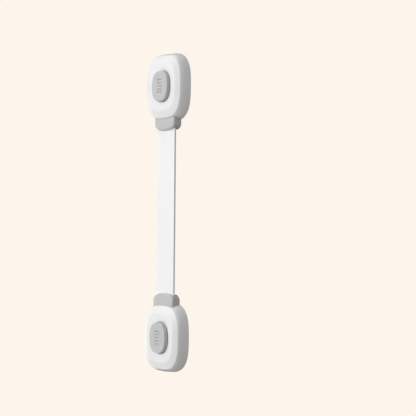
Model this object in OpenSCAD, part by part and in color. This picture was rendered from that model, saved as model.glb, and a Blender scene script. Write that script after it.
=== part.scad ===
// Cabinet safety strap lock: two stick-on pods joined by a flat strap.
// A plug on each end of the strap slides into a pod and is caught by a leaf spring.
// Pressing a pod's button bends the leaf back and lets the plug slide out.
//
// Frame: X across the strap, Z up along it, buttons face -Y, cabinet wall at Y = 0.
// The origin is the centre of the upper pod on the wall. "Depth" is distance from the wall.

/* [Layout] */
// Distance between the centres of the two pods
pod_spacing = 150; // [120:1:260]

/* [Pod] */
// Width of the pod where it is widest, at the back
pod_w = 31.7; // [29:0.1:40]
// Height of the pod where it is widest, at the back
pod_h = 41.3; // [39:0.1:52]
// Squareness of the pod's oval outline, where 2 is an ellipse
pod_squareness = 3; // [2.4:0.1:4]
// How far the side wall leans in from the back to the rim
flare = 2; // [1:0.1:3]
// Width of the sloping band between rim and flat face, at the sides
bevel_side = 3.5; // [1.5:0.1:4]
// Width of the sloping band between rim and flat face, at the ends
bevel_end = 4.1; // [2:0.1:5.5]
// Height of the flat face above the rim
bevel_rise = 1.9; // [0.8:0.1:2.4]
// Thickness of the cover's walls
wall = 1.5; // [1:0.1:1.8]
// Rounding of the cover's back edge
back_round = 0.8; // [0.3:0.1:1.2]
// Share of the side wall's lean that is a straight draft, while the rest curves in near the rim
wall_draft = 0.8; // [0.2:0.05:1]
// How late the curved share of the lean comes, where 1 is straight and more is nearer the rim
wall_bulge = 6; // [1:0.5:8]
// Width of the shallow dish in the face round the button
dish_w = 2.5; // [1:0.1:3]
// Depth of that dish at the button
dish_t = 0.5; // [0.2:0.05:0.7]

/* [Base] */
// Thickness of the base plate
base_t = 1.3; // [1.2:0.1:2.5]
// Thickness of the adhesive foam pad
pad_t = 1; // [0.5:0.1:2]
// Border of bare base plate round the pad
pad_margin = 0.6; // [0.2:0.1:2]
// Width of each guide rail beside the tongue
rail_w = 1.2; // [0.8:0.1:1.5]
// How far each rail reaches under the tongue
rail_lip = 1; // [0.5:0.1:1.5]

/* [Button] */
// Width of the push button
button_w = 12.8; // [12:0.1:14]
// Height of the push button
button_h = 18.4; // [16:0.1:20]
// Squareness of the button and of the neck's rounded end, where 2 is an ellipse
button_squareness = 2.5; // [2:0.1:3.5]
// How far the button stands out of the flat face
button_proud = 2; // [1.8:0.1:3.5]
// How far the button can be pressed
button_travel = 1.4; // [1.1:0.1:1.8]
// Rounding of the button's top edge
button_round = 0.8; // [0.3:0.1:1]
// Wall thickness of the hollow button
button_wall = 1.3; // [1:0.1:1.8]
// Width of the lip that keeps the button in the cover
lip_w = 1; // [0.6:0.1:1.1]
// Thickness of that lip
lip_t = 1.2; // [0.8:0.1:1.6]
// Width of each leg that reaches past the tongue to the leaf
leg_w = 1.3; // [0.9:0.1:1.5]
// Length of each leg along the strap
leg_l = 2.4; // [1.5:0.1:3.5]
// Number of grip grooves in the button's top
groove_count = 5; // [1:1:6]
// Spacing of the grip grooves
groove_pitch = 1.9; // [1.5:0.1:2.4]
// Length of a grip groove, across the button
groove_l = 3.8; // [1.5:0.1:5]
// Width of a grip groove at the top
groove_w = 1; // [0.5:0.1:1.2]
// Depth of a grip groove
groove_t = 0.6; // [0.2:0.05:0.7]

/* [Latch] */
// Thickness of the steel leaf
leaf_t = 0.3; // [0.2:0.05:0.4]
// Width of the leaf and its tooth
leaf_w = 5.2; // [4:0.1:5.5]
// Free length of the leaf from its clamped end to the catch face
leaf_free = 12.5; // [10:0.1:14]
// Length of the ramp that the tongue rides over when it goes in
ramp_l = 4.3; // [3:0.1:5]
// Length of the leaf's clamped end
clamp_l = 4.4; // [4:0.1:5]

/* [Plug] */
// Width of the plug's neck
neck_w = 16.8; // [15.8:0.1:18]
// How far the neck stands out of the pod's end
neck_reach = 5.7; // [4:0.1:10]
// How far the neck goes into the pod's end
neck_in = 3.6; // [3:0.1:4.5]
// Step from the pod's rim back to the neck's front face
neck_step = 0.6; // [0.3:0.1:1.6]
// Height of the rounded outer end of the neck
neck_crown = 4.6; // [2:0.1:6]
// Rounding of the neck's front edges
neck_round = 1.5; // [0.3:0.1:1.6]
// Width of the tongue
tongue_w = 10; // [9.6:0.1:10.4]
// Thickness of the tongue
tongue_t = 1.6; // [1.3:0.1:2.2]
// Solid length of the tongue beyond its window
tip_l = 4.5; // [3.5:0.1:6]
// Corner cut at the tongue's tip
tip_cut = 1.2; // [0.5:0.1:2]
// Thickness of the neck's inner end wall, at the root of the tongue
root_t = 1.8; // [1.2:0.1:2.2]
// Diameter of the pegs that hold the strap
peg_d = 2.4; // [1.6:0.1:3]
// Distance between the two pegs
peg_spacing = 7; // [5:0.1:8.5]
// How far the plug's back half ends short of the neck
back_setback = 0.9; // [0.3:0.1:1.2]
// Length of the open mouth behind the strap
relief_l = 4; // [3:0.1:4.2]
// Depth of the open mouth behind the strap
relief_t = 2.2; // [0.5:0.1:2.4]
// Length of the slope at the inner end of that mouth
relief_ramp = 1.5; // [0.5:0.1:2]

/* [Strap] */
// Width of the strap
strap_w = 14; // [12:0.1:14.2]
// Thickness of the strap
strap_t = 1.4; // [1:0.1:2]
// Length of the section in the middle that bends round a corner
flex_l = 24; // [6:0.5:30]

/* [Screws] */
// Diameter of the screws' shanks
screw_d = 1.9; // [1.6:0.1:2]
// Diameter of the screws' heads
head_d = 3.6; // [3:0.1:3.8]
// Height of the screws' heads
head_t = 0.9; // [0.7:0.1:1]
// Taper of a latch screw's pan head, from its edge to its top
head_taper = 0.5; // [0.2:0.1:0.8]
// Length of each arm of the driver recess, from end to end
recess_l = 2.2; // [1.6:0.1:2.4]
// Width of each arm of the driver recess
recess_w = 0.5; // [0.3:0.1:0.6]
// Length of the shank of a base screw, below its head
base_screw_l = 4.2; // [3.5:0.1:4.8]
// Length of the shank of a latch screw, below its head
latch_screw_l = 2.5; // [2:0.1:2.7]
// Diameter of the cover's screw bosses
boss_d = 3.8; // [3.6:0.1:4]
// Distance of the two side bosses below the pod's centre
side_boss_z = 8.5; // [6:0.1:9]

/* [Clearances] */
// Gap round the base plate inside the cover
base_gap = 0.15; // [0.05:0.05:0.3]
// Gap round the button in its opening
button_gap = 0.2; // [0.1:0.05:0.4]
// Gap between the button's lip and what it stops on
stop_gap = 0.1; // [0.05:0.05:0.2]
// Gap round the plug in the pod's mouth
mouth_gap = 0.25; // [0.15:0.05:0.5]
// Gap round the tongue between its rails
tongue_gap = 0.2; // [0.1:0.05:0.3]
// Gap between the tooth and the end of the tongue's window
catch_gap = 0.3; // [0.1:0.05:0.5]
// Gap round the strap inside the plug
strap_gap = 0.1; // [0.05:0.05:0.2]
// Gap round pegs and screws in their holes
pin_gap = 0.05; // [0.02:0.01:0.1]
// Room between moving pieces and what they pass
free_gap = 0.4; // [0.2:0.05:0.6]

/* [Hidden] */
$fn = 48;

// Points round an oval outline, points round a rounded corner, and rings up the wall and the dish
oval_points = 64;
arc_points = 8;
wall_rings = 6;
dish_rings = 4;
// Turn between the rings round a rounded edge
edge_step = 30;
// Overshoot of a cutting solid past the face it opens
cut = 1;

white_plastic = "#f4f3f1";
grey_plastic = "#c4c4c5";
strap_white = "#f0f0ee";
foam_white = "#e3e2de";
steel = "#b4b6b9";

// Depths from the wall, from the pad up to the button
base_back = pad_t;
base_front = base_back + base_t;
leaf_back = base_front + button_travel + tongue_gap;
leaf_front = leaf_back + leaf_t;
tongue_back = leaf_front + tongue_gap;
tongue_front = tongue_back + tongue_t;
lip_back = tongue_front + button_travel + stop_gap;
lip_front = lip_back + lip_t;
cover_inside = lip_front + stop_gap;
face = cover_inside + wall;
rim = face - bevel_rise;
button_top = face + button_proud;
tooth_top = tongue_back + button_travel - catch_gap;
neck_back = base_back + tongue_gap;
neck_front = rim - neck_step;
strap_mid = (tongue_back + tongue_front) / 2;
strap_back = strap_mid - strap_t / 2;
strap_front = strap_mid + strap_t / 2;

// Half sizes of the ovals
pod_hw = pod_w / 2;
pod_hh = pod_h / 2;
base_inset = wall + base_gap;
rim_inset = flare + wall;
button_hw = button_w / 2;
button_hh = button_h / 2;

// Places along the pod, measured up from its centre; the mouth is at the lower end
boss_r = boss_d / 2;
boss_x = pod_hw - rim_inset - boss_r;
boss_z = pod_hh - rim_inset - boss_r;
clamp_top = boss_z - boss_r - free_gap;
clamp_z = clamp_top - clamp_l;
catch_z = clamp_z - leaf_free;
leg_z = catch_z + free_gap + leg_l / 2;
window_top = catch_z + catch_gap;
window_bottom = catch_z - ramp_l - free_gap;
tip_z = window_top + tip_l;
shoulder_z = neck_in - pod_hh;
base_end = shoulder_z + catch_gap;
neck_end = -pod_hh - neck_reach;
crown_z = neck_end + neck_crown;
pocket_z = shoulder_z - root_t;
strap_end = pocket_z - strap_gap;
peg_z = (pocket_z + neck_end + relief_l) / 2;
rail_bottom = base_end + free_gap;
rail_top = catch_z - free_gap;

// Places across the pod
neck_hw = neck_w / 2;
tongue_hw = tongue_w / 2;
window_w = leaf_w + 2 * free_gap;
leg_x = tongue_hw + free_gap;
pocket_w = strap_w + 2 * strap_gap;
boss_places = [[0, boss_z], [boss_x, -side_boss_z], [-boss_x, -side_boss_z]];

// Flat shape in X and Z given a thickness between two depths
module slab(from, to) {
    translate([0, -from, 0])
        rotate([90, 0, 0])
            linear_extrude(to - from)
                children();
}

// Upright round bar between two depths at one place of the pod
module bar(place, from, to, d1, d2) {
    translate([place.x, -from, place.y])
        rotate([90, 0, 0])
            cylinder(h = to - from, d1 = d1, d2 = d2);
}

// Rectangle from a half width and two heights
module panel(half_w, bottom, top) {
    translate([-half_w, bottom])
        square([2 * half_w, top - bottom]);
}

// Points round an oval of a given half width, half height and squareness
function oval(half_w, half_h, power) = [
    for (i = [0 : oval_points - 1])
        let (
            a = 360 * i / oval_points,
            reach = pow(pow(abs(cos(a)), power) + pow(abs(sin(a)), power), -1 / power)
        )
        [half_w * reach * cos(a), half_h * reach * sin(a)]
];

// Points round an arc from one angle to another
function arc(x, y, r, from, to) = [
    for (i = [0 : arc_points])
        let (a = from + (to - from) * i / arc_points)
        [x + r * cos(a), y + r * sin(a)]
];

// The pod's widest outline drawn in, and the button's outline grown
function pod_oval(side, end) = oval(pod_hw - side, pod_hh - end, pod_squareness);
function button_oval(grow) = oval(button_hw + grow, button_hh + grow, button_squareness);

// The neck's outline drawn in: straight sides, and an outer end that is half an oval
function neck_outline(inset) =
    let (end = oval(neck_hw - inset, neck_crown - inset, button_squareness))
    concat(
        [[neck_hw - inset, shoulder_z - inset], [inset - neck_hw, shoulder_z - inset]],
        [
            for (i = [oval_points / 2 : oval_points])
                let (p = end[i % oval_points])
                [p.x, crown_z + p.y]
        ]
    );

// Solid through a list of rings, each [depth, outline], from back to front
module loft(rings) {
    n = len(rings[0][1]);
    points = [
        for (ring = rings)
            for (p = ring[1])
                [p.x, -ring[0], p.y]
    ];
    sides = [
        for (k = [0 : len(rings) - 2])
            for (i = [0 : n - 1])
                let (a = k * n + i, b = k * n + (i + 1) % n)
                for (corners = [[a + n, b + n, b], [a + n, b, a]])
                    corners
    ];
    back = [for (i = [0 : n - 1]) i];
    front = [for (i = [n - 1 : -1 : 0]) (len(rings) - 1) * n + i];
    polyhedron(points, concat([back, front], sides), convexity = 4);
}

// Outside of the pod: rounded back edge, wall that leans in to the rim, sloping band, flat face
function inset_ring(depth, side, end) = [depth, pod_oval(side, end)];
function wall_lean(t) = flare * (wall_draft * t + (1 - wall_draft) * pow(t, wall_bulge));
widest = base_back + back_round;
outside_rings = concat(
    [
        for (a = [0 : edge_step : 90 - edge_step])
            let (inset = back_round * (1 - sin(a)))
            inset_ring(widest - back_round * cos(a), inset, inset)
    ],
    [
        for (i = [0 : wall_rings])
            let (t = i / wall_rings, lean = wall_lean(t))
            inset_ring(widest + t * (rim - widest), lean, lean)
    ],
    [inset_ring(face, flare + bevel_side, flare + bevel_end)]
);

// Inside of the cover, one wall thickness in from the outside
bevel_start = cover_inside - bevel_rise;
inside_rings = [
    inset_ring(base_back - cut, wall, wall),
    inset_ring(base_front, wall, wall),
    inset_ring(bevel_start, rim_inset, rim_inset),
    inset_ring(cover_inside, flare + bevel_side, flare + bevel_end)
];

// Shallow dish round the button, which begins inside the button's opening
dish = concat(
    [
        for (i = [-1 : dish_rings])
            let (s = i / dish_rings)
            [face - dish_t * pow(1 - s, 2), button_oval(button_gap + dish_w * s)]
    ],
    [[face + cut, button_oval(button_gap + dish_w)]]
);

// Way in for the plug: the neck's section, grown by its clearance and drawn out along the strap
module mouth() {
    half_w = neck_hw + mouth_gap;
    front = neck_front + mouth_gap;
    r = neck_round + mouth_gap;
    translate([0, 0, neck_end])
        linear_extrude(base_end + wall - neck_end)
            polygon(concat(
                [[-half_w, cut - base_back], [half_w, cut - base_back]],
                arc(half_w - r, r - front, r, 0, -90),
                arc(r - half_w, r - front, r, -90, -180)
            ));
}

module front_cover() {
    color(white_plastic)
        difference() {
            union() {
                difference() {
                    loft(outside_rings);
                    loft(inside_rings);
                }
                intersection() {
                    loft(outside_rings);
                    for (place = boss_places)
                        bar(place, base_front, face - wall / 2, boss_d, boss_d);
                }
            }
            slab(cover_inside - cut, face + cut)
                polygon(button_oval(button_gap));
            loft(dish);
            mouth();
            for (place = boss_places)
                bar(place, base_front - cut, base_back + head_t + base_screw_l + free_gap,
                    screw_d + 2 * pin_gap, screw_d + 2 * pin_gap);
        }
}

module base_plate() {
    color(white_plastic)
        difference() {
            union() {
                slab(base_back, base_front)
                    intersection() {
                        polygon(pod_oval(base_inset, base_inset));
                        panel(pod_hw, base_end, pod_hh);
                    }
                slab(base_front - wall / 2, leaf_back)
                    panel(leaf_w / 2, clamp_z, clamp_top);
                for (side = [0, 1])
                    mirror([side, 0, 0])
                        guide_rail();
            }
            bar([0, (clamp_z + clamp_top) / 2], leaf_front - latch_screw_l - pin_gap, leaf_back + cut,
                screw_d + 2 * pin_gap, screw_d + 2 * pin_gap);
            for (place = boss_places) {
                bar(place, base_back - cut, base_front + cut,
                    screw_d + 2 * pin_gap, screw_d + 2 * pin_gap);
                bar(place, base_back, base_back + head_t,
                    head_d + 2 * pin_gap, screw_d + 2 * pin_gap);
            }
        }
}

// L-shaped rail: a lip under the tongue's edge and a wall beside it
module guide_rail() {
    inner = tongue_hw - rail_lip;
    outer = tongue_hw + tongue_gap + rail_w;
    slab(base_front - base_t / 2, tongue_back - stop_gap)
        translate([inner, rail_bottom])
            square([outer - inner, rail_top - rail_bottom]);
    slab(base_front - base_t / 2, tongue_front - stop_gap)
        translate([tongue_hw + tongue_gap, rail_bottom])
            square([rail_w, rail_top - rail_bottom]);
}

// Cross-shaped driver recess cut into a screw head that faces a given depth
module cross_recess(place, from, to) {
    for (turn = [0, 90])
        slab(from, to)
            translate(place)
                rotate(turn)
                    square([recess_l, recess_w], center = true);
}

// Countersunk screws from the back through the base plate into the cover's bosses
module base_screws() {
    color(steel)
        for (place = boss_places)
            difference() {
                union() {
                    bar(place, base_back + pin_gap, base_back + head_t, head_d - pin_gap, screw_d);
                    bar(place, base_back + head_t, base_back + head_t + base_screw_l, screw_d, screw_d);
                }
                cross_recess(place, base_back - cut, base_back + head_t / 2);
            }
}

// Pan-head screw that clamps the leaf to the base plate
module latch_screw() {
    place = [0, (clamp_z + clamp_top) / 2];
    color(steel)
        difference() {
            union() {
                bar(place, leaf_front - latch_screw_l, leaf_front, screw_d, screw_d);
                bar(place, leaf_front, leaf_front + head_t, head_d, head_d - head_taper);
            }
            cross_recess(place, leaf_front + head_t / 2, leaf_front + head_t + cut);
        }
}

// Steel leaf: clamped end, flat arm, cross-bar under the button's legs, catch face and ramp
module latch_spring() {
    side_view = [
        [clamp_top, leaf_back],
        [clamp_top, leaf_front],
        [catch_z, leaf_front],
        [catch_z, tooth_top],
        [catch_z - leaf_t, tooth_top],
        [catch_z - ramp_l, leaf_front],
        [catch_z - ramp_l, leaf_back],
        [catch_z - leaf_t, tooth_top - 2 * leaf_t],
        [catch_z - leaf_t, leaf_back]
    ];
    color(steel)
        difference() {
            union() {
                translate([-leaf_w / 2, 0, 0])
                    rotate([90, 0, 90])
                        linear_extrude(leaf_w)
                            polygon([for (p = side_view) [-p[1], p[0]]]);
                slab(leaf_back, leaf_front)
                    panel(leg_x + leg_w, leg_z - leg_l / 2, leg_z + leg_l / 2);
            }
            bar([0, (clamp_z + clamp_top) / 2], leaf_back - cut, leaf_front + cut,
                screw_d + 2 * pin_gap, screw_d + 2 * pin_gap);
        }
}

// Groove across the button's top whose sides and ends taper to a narrow floor
module grip_groove() {
    hull() {
        slab(button_top, button_top + cut)
            square([groove_l, groove_w], center = true);
        slab(button_top - groove_t, button_top)
            square([groove_l - groove_w, 2 * pin_gap], center = true);
    }
}

module push_button() {
    crown_rings = concat(
        [[lip_front - lip_t / 2, button_oval(0)]],
        [
            for (a = [0 : edge_step : 90])
                [button_top - button_round * (1 - sin(a)), button_oval(button_round * (cos(a) - 1))]
        ]
    );
    color(grey_plastic) {
        difference() {
            union() {
                loft(crown_rings);
                slab(lip_back, lip_front)
                    polygon(button_oval(lip_w));
            }
            slab(lip_back - cut, button_top - button_wall)
                polygon(button_oval(-button_wall));
            for (i = [0 : groove_count - 1])
                translate([0, 0, (i - (groove_count - 1) / 2) * groove_pitch])
                    grip_groove();
        }
        for (side = [0, 1])
            mirror([side, 0, 0])
                slab(leaf_front + pin_gap, lip_back + lip_t / 2)
                    translate([leg_x, leg_z - leg_l / 2])
                        square([leg_w, leg_l]);
    }
}

module adhesive_pad() {
    color(foam_white)
        slab(0, pad_t)
            intersection() {
                polygon(pod_oval(base_inset + pad_margin, base_inset + pad_margin));
                panel(pod_hw, base_end + pad_margin, pod_hh);
            }
}

peg_places = [[peg_spacing / 2, peg_z], [-peg_spacing / 2, peg_z]];
peg_top = (strap_front + neck_front) / 2;

// Front of the plug: neck with a pocket for the strap, sockets for the pegs, and the tongue
module plug_front() {
    neck_rings = concat(
        [[neck_back, neck_outline(0)]],
        [
            for (a = [0 : edge_step : 90])
                [neck_front - neck_round * (1 - sin(a)), neck_outline(neck_round * (1 - cos(a)))]
        ]
    );
    color(grey_plastic)
        difference() {
            union() {
                loft(neck_rings);
                slab(tongue_back, tongue_front)
                    polygon([
                        [-tongue_hw, pocket_z], [tongue_hw, pocket_z],
                        [tongue_hw, tip_z - tip_cut], [tongue_hw - tip_cut, tip_z],
                        [tip_cut - tongue_hw, tip_z], [-tongue_hw, tip_z - tip_cut]
                    ]);
            }
            slab(neck_back - cut, strap_front + strap_gap)
                panel(pocket_w / 2, neck_end - cut, pocket_z);
            slab(tongue_back - cut, tongue_front + cut)
                panel(window_w / 2, window_bottom, window_top);
            for (place = peg_places)
                bar(place, strap_back, peg_top + pin_gap, peg_d + 2 * pin_gap, peg_d + 2 * pin_gap);
        }
}

// Back of the plug: fills the pocket behind the strap, steps away from it at the mouth, carries the pegs
module plug_back() {
    seat = strap_back - strap_gap;
    side_view = [
        [pocket_z - strap_gap, neck_back],
        [pocket_z - strap_gap, seat],
        [neck_end + relief_l, seat],
        [neck_end + relief_l - relief_ramp, seat - relief_t],
        [neck_end + back_setback, seat - relief_t],
        [neck_end + back_setback, neck_back]
    ];
    color(grey_plastic) {
        intersection() {
            slab(neck_back, seat)
                polygon(neck_outline(0));
            translate([strap_gap - pocket_w / 2, 0, 0])
                rotate([90, 0, 90])
                    linear_extrude(pocket_w - 2 * strap_gap)
                        polygon([for (p = side_view) [-p[1], p[0]]]);
        }
        for (place = peg_places)
            bar(place, seat - strap_t / 2, peg_top, peg_d, peg_d);
    }
}

// Plain strap between two heights
module strap_band(bottom, top) {
    color(strap_white)
        slab(strap_back, strap_front)
            panel(strap_w / 2, bottom, top);
}

// Run of strap from the upper plug's pegs down to the section that bends
module strap_run() {
    difference() {
        strap_band((flex_l - pod_spacing) / 2, strap_end);
        for (place = peg_places)
            bar(place, strap_back - cut, strap_front + cut, peg_d + 2 * pin_gap, peg_d + 2 * pin_gap);
    }
}

// The lower pod is the upper one turned upside down
module at_lower_pod() {
    translate([0, 0, -pod_spacing])
        rotate([0, 180, 0])
            children();
}

module upper_front_cover() front_cover();
module upper_base_plate() base_plate();
module upper_base_screws() base_screws();
module upper_push_button() push_button();
module upper_latch_spring() latch_spring();
module upper_latch_screw() latch_screw();
module upper_adhesive_pad() adhesive_pad();
module upper_plug_front() plug_front();
module upper_plug_back() plug_back();
module strap_upper_run() strap_run();
module strap_flex_section() strap_band((-flex_l - pod_spacing) / 2, (flex_l - pod_spacing) / 2);
module strap_lower_run() at_lower_pod() strap_run();
module lower_plug_front() at_lower_pod() plug_front();
module lower_plug_back() at_lower_pod() plug_back();
module lower_front_cover() at_lower_pod() front_cover();
module lower_base_plate() at_lower_pod() base_plate();
module lower_base_screws() at_lower_pod() base_screws();
module lower_push_button() at_lower_pod() push_button();
module lower_latch_spring() at_lower_pod() latch_spring();
module lower_latch_screw() at_lower_pod() latch_screw();
module lower_adhesive_pad() at_lower_pod() adhesive_pad();

upper_front_cover();
upper_base_plate();
upper_base_screws();
upper_push_button();
upper_latch_spring();
upper_latch_screw();
upper_adhesive_pad();
upper_plug_front();
upper_plug_back();
strap_upper_run();
strap_flex_section();
strap_lower_run();
lower_plug_front();
lower_plug_back();
lower_front_cover();
lower_base_plate();
lower_base_screws();
lower_push_button();
lower_latch_spring();
lower_latch_screw();
lower_adhesive_pad();
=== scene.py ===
# %% [markdown]
# This lesson dresses a cabinet strap lock. The real one is two stick-on pods, each with a push button,
# joined by a flat strap whose plugs click into the pods. The frame brings the solids in metres, with
# Z up along the strap and the buttons facing -Y, away from the cabinet wall at Y = 0. The solids stay
# where they are. Moulded plastic is read by its rounded edges, so what shows is modelled again with
# finer edges. Each new piece rides on the body of the solid that it stands for, except the strap band
# and the leaf springs, which stay where they are made.

# %% Load the frame
import math

import bmesh
import bpy
from mathutils import Matrix, Vector


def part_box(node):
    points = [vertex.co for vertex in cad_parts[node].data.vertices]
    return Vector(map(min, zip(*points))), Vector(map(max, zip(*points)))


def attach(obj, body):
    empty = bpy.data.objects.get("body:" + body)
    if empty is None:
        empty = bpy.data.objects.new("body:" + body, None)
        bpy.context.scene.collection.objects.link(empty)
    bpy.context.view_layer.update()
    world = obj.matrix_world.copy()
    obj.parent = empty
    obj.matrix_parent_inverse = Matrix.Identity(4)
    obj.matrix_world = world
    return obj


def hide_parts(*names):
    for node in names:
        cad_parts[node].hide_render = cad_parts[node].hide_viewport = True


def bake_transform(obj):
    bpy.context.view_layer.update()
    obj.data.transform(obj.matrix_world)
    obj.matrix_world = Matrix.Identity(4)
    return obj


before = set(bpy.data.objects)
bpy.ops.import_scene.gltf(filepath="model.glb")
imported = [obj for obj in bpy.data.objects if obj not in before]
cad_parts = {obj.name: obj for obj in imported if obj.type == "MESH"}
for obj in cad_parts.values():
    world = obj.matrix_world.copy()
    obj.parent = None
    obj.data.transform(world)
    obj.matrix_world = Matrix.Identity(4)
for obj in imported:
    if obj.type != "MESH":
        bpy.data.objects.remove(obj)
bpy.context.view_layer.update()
scene = bpy.context.scene
MM = 0.001

# %% [markdown]
# The camera comes first, because everything after it is judged through it. The photograph was taken
# from the right of the buttons and almost level, with a long lens that keeps the two pods nearly the
# same size. An aim beside the lock puts it left of the middle of the picture. A camera can be aimed
# with a Track To constraint, but a plain matrix also holds the small roll, so that is used here.

# %% Camera at the photograph's angle
# Azimuths and elevations are in degrees, and the sensor's width is in millimetres.
PICTURE_PIXELS = 416
FOCAL_PIXELS = 1120.9
SENSOR = 36.0
EYE_AZIMUTH = 44.54
EYE_ELEVATION = -1.88
EYE_DISTANCE = 670.0 * MM
AIM_AZIMUTH = 42.20
AIM_ELEVATION = -2.085
ROLL = math.radians(0.45)
LOCK_MIDDLE = Vector((0.0, -8.7 * MM, -75.0 * MM))


def toward(azimuth, elevation):
    """Unit vector from the lock towards a viewer, with azimuth 0 in front and 90 at its right."""
    a = math.radians(azimuth)
    e = math.radians(elevation)
    return Vector((math.sin(a) * math.cos(e), -math.cos(a) * math.cos(e), math.sin(e)))


camera_data = bpy.data.cameras.new("camera")
camera_data.sensor_width = SENSOR
camera_data.lens = FOCAL_PIXELS / PICTURE_PIXELS * SENSOR
camera = bpy.data.objects.new("camera", camera_data)
scene.collection.objects.link(camera)
backward = toward(AIM_AZIMUTH, AIM_ELEVATION)
level = toward(AIM_AZIMUTH + 90, 0)
upward = backward.cross(level)
right = level * math.cos(ROLL) + upward * math.sin(ROLL)
above = upward * math.cos(ROLL) - level * math.sin(ROLL)
camera.matrix_world = Matrix((right, above, backward)).transposed().to_4x4()
camera.location = LOCK_MIDDLE + toward(EYE_AZIMUTH, EYE_ELEVATION) * EYE_DISTANCE
scene.camera = camera
print("Camera lens", round(camera_data.lens, 1), "mm at", [round(c, 3) for c in camera.location])

# %% [markdown]
# Colours are written as the sRGB hex values that a colour picker shows, and one function turns them
# into the linear values that Blender works in, by the curve of the sRGB standard. Another small
# function adds every shader node used below: it sets the node's own settings and its unlinked inputs,
# then joins the inputs that take another node's output.

# %% Colours and shader nodes
def linear(hex_colour):
    """sRGB hex such as "#F4F4F3" as a linear colour with alpha."""
    parts = [int(hex_colour[i:i + 2], 16) / 255 for i in (1, 3, 5)]
    return (*[p / 12.92 if p <= 0.04045 else ((p + 0.055) / 1.055) ** 2.4 for p in parts], 1.0)


def add_node(tree, kind, settings=None, links=None):
    """A new node with its settings, and with some inputs linked to other nodes' outputs."""
    made = tree.nodes.new(kind)
    for name, value in (settings or {}).items():
        if name in made.inputs:
            made.inputs[name].default_value = value
        else:
            setattr(made, name, value)
    for name, output in (links or {}).items():
        tree.links.new(output, made.inputs[name])
    return made


print("Middle grey #808080 is", round(linear("#808080")[0], 3), "in linear light")

# %% [markdown]
# The studio is a pale cream room with soft light. The camera sees the plain cream, while the object
# is lit by a much dimmer neutral surround and by softboxes, because a white object in a fully bright
# room would lose its shape. The Light Path node tells the two kinds of ray apart.

# %% Cream surround
CREAM = linear("#FDF5EB")
NEUTRAL = linear("#FFFFFF")
SURROUND_STRENGTH = 0.02

world = bpy.data.worlds.new("cream_room")
scene.world = world
world.use_nodes = True
tree = world.node_tree
tree.nodes.clear()
ray = add_node(tree, "ShaderNodeLightPath")
light = add_node(tree, "ShaderNodeBackground", {"Color": NEUTRAL, "Strength": SURROUND_STRENGTH})
seen = add_node(tree, "ShaderNodeBackground", {"Color": CREAM})
mix = add_node(tree, "ShaderNodeMixShader",
               links={0: ray.outputs["Is Camera Ray"], 1: light.outputs[0], 2: seen.outputs[0]})
add_node(tree, "ShaderNodeOutputWorld", links={"Surface": mix.outputs[0]})
print("Surround lights at strength", SURROUND_STRENGTH)

# %% [markdown]
# The floor lies well below the lock, which hangs on a cabinet, so no shadow of it shows. It is a plain
# disc, with the same split as the surround: matt paint for the light that it sends up, and the plain
# cream for the camera, so that no horizon crosses the picture.

# %% Cream floor
FLOOR_PAINT = linear("#D8D4CC")
FLOOR_DROP = -1.50
FLOOR_RADIUS = 2.5
FLOOR_SIDES = 64

floor_paint = bpy.data.materials.new("cream_floor_paint")
floor_paint.use_nodes = True
tree = floor_paint.node_tree
tree.nodes.clear()
ray = add_node(tree, "ShaderNodeLightPath")
matt = add_node(tree, "ShaderNodeBsdfDiffuse", {"Color": FLOOR_PAINT})
seen = add_node(tree, "ShaderNodeEmission", {"Color": CREAM})
mix = add_node(tree, "ShaderNodeMixShader",
               links={0: ray.outputs["Is Camera Ray"], 1: matt.outputs[0], 2: seen.outputs[0]})
add_node(tree, "ShaderNodeOutputMaterial", links={"Surface": mix.outputs[0]})

disc = bmesh.new()
bmesh.ops.create_circle(disc, cap_ends=True, segments=FLOOR_SIDES, radius=FLOOR_RADIUS,
                        matrix=Matrix.Translation((0, 0, FLOOR_DROP)))
floor_mesh = bpy.data.meshes.new("floor")
disc.to_mesh(floor_mesh)
disc.free()
floor_mesh.materials.append(floor_paint)
floor = bpy.data.objects.new("floor", floor_mesh)
scene.collection.objects.link(floor)
print("Floor at", FLOOR_DROP, "m")

# %% [markdown]
# Softboxes all round shape the whites, as on a product table. A strong one in front of the buttons
# lights the faces. One high in front and one overhead brighten the upper slopes, and one low at the
# left keeps the lower slopes from going dull. Weaker ones at the sides and behind keep the shaded walls
# and the back open. Each is a square area light that faces the lock. The colour view is set to
# Standard, so that a white lit to 0.9 comes out as that white.

# %% Softboxes
SOFTBOX_SIZE = 1.0
SOFTBOX_DISTANCE = 1.5
# Each has a name, an azimuth and an elevation in degrees, and its power in watts.
SOFTBOXES = (
    ("front_softbox", -15, 5, 13.9),
    ("high_front_softbox", -30, 35, 5.7),
    ("low_left_softbox", -45, -35, 4.2),
    ("left_softbox", -75, 20, 2.4),
    ("rear_left_softbox", -110, -10, 5.1),
    ("right_softbox", 75, 20, 6.3),
    ("rear_right_softbox", 130, -10, 2.2),
    ("overhead_softbox", 0, 85, 5.8),
    ("back_softbox", 180, 20, 6.0),
)

for name, azimuth, elevation, power in SOFTBOXES:
    lamp = bpy.data.lights.new(name, "AREA")
    lamp.size = SOFTBOX_SIZE
    lamp.energy = power
    softbox = bpy.data.objects.new(name, lamp)
    scene.collection.objects.link(softbox)
    direction = toward(azimuth, elevation)
    softbox.location = LOCK_MIDDLE + direction * SOFTBOX_DISTANCE
    softbox.rotation_euler = direction.to_track_quat("Z", "Y").to_euler()
scene.view_settings.view_transform = "Standard"
scene.view_settings.look = "None"

# %% [markdown]
# The covers and base plates are white ABS, injection moulded with a satin tool finish. ABS has an IOR
# of about 1.53 and no metal in it. A satin tool leaves a grain of a tenth of a millimetre or so, too
# fine to show at this distance, so it is drawn about three times coarser and very shallow. Slow
# changes in gloss across the part are what the eye reads as moulded plastic. Most finishes below let
# one pattern vary both colour and gloss, so a function does that, and the rest is told node by node.

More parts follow.
